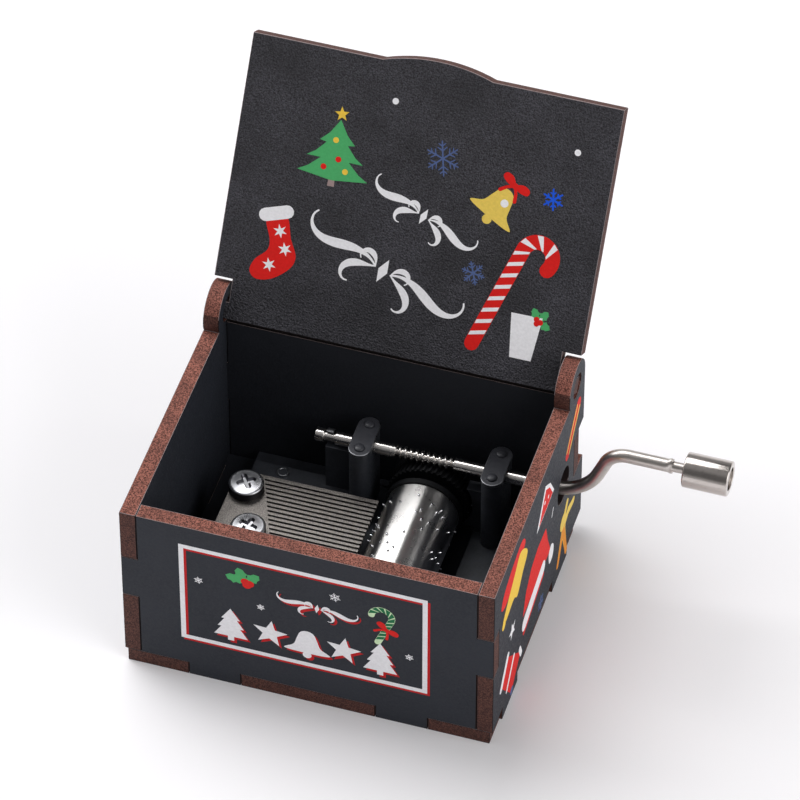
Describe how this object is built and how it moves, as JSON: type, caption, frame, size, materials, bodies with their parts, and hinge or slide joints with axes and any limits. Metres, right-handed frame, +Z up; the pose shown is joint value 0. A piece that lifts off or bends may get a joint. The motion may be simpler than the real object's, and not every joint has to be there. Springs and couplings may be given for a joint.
{
  "type": "hand crank music box",
  "caption": "Finger-jointed wooden box with a hinged lid, holding a hand-cranked movement: a worm on the crank axle turns a pinned drum beside a steel comb.",
  "frame": {"origin": "centre of the base panel's underside, on the table", "axes": "+X to the crank, +Y to the back, +Z up"},
  "size_m": [0.0925, 0.0762, 0.0793],
  "materials": {
    "painted_wood": "charcoal painted and printed faces, reddish-brown laser-cut edges",
    "nickel": "bright nickel plate",
    "drum_plate": "polished plated drum",
    "comb_steel": "ground steel, matt where hardened",
    "black_casting": "satin black coated die casting",
    "wheel_plastic": "black moulded plastic",
    "bushing_brass": "turned brass",
    "zinc_steel": "zinc plated steel"
  },
  "bodies": {
    "case": {"base_panel": "painted_wood", "front_panel": "painted_wood", "back_panel": "painted_wood", "left_side_panel": "painted_wood", "right_side_panel": "painted_wood", "bedplate": "black_casting", "front_bushing": "bushing_brass", "rear_bushing": "bushing_brass", "comb": "comb_steel", "comb_screw_rear": "nickel", "comb_screw_front": "nickel", "bed_screw_rear_left": "zinc_steel", "bed_screw_rear_right": "zinc_steel", "bed_screw_front_right": "zinc_steel", "left_bearing_cap": "black_casting", "left_cap_rivet_front": "black_casting", "left_cap_rivet_rear": "black_casting", "right_bearing_cap": "black_casting", "right_cap_rivet_front": "black_casting", "right_cap_rivet_rear": "black_casting", "axle_clip": "zinc_steel"},
    "lid": {"lid_panel": "painted_wood"},
    "crank": {"crank_axle": "nickel"},
    "knob": {"crank_knob": "nickel"},
    "drum": {"pin_drum": "drum_plate", "drum_end_cap": "bushing_brass", "worm_wheel": "wheel_plastic", "drum_arbor": "zinc_steel"}
  },
  "joints": [
    {"name": "lid_hinge", "type": "hinge", "parent": "case", "child": "lid", "pos_m": [0, 0.0231, 0.0376], "axis": [1, 0, 0], "range_deg": [0, 123.3]},
    {"name": "crank_spin", "type": "hinge", "parent": "case", "child": "crank", "pos_m": [0.0325, 0.0158, 0.02005], "axis": [1, 0, 0], "continuous": true},
    {"name": "knob_spin", "type": "hinge", "parent": "crank", "child": "knob", "pos_m": [0.0566, 0.0158, 0.03145], "axis": [1, 0, 0], "continuous": true},
    {"name": "drum_spin", "type": "hinge", "parent": "case", "child": "drum", "pos_m": [0.00893, 0.0017, 0.01212], "axis": [0, 1, 0], "continuous": true}
  ],
  "couplings": [
    {"joint": "drum_spin", "follows": "crank_spin", "ratio": -0.022727}
  ]
}
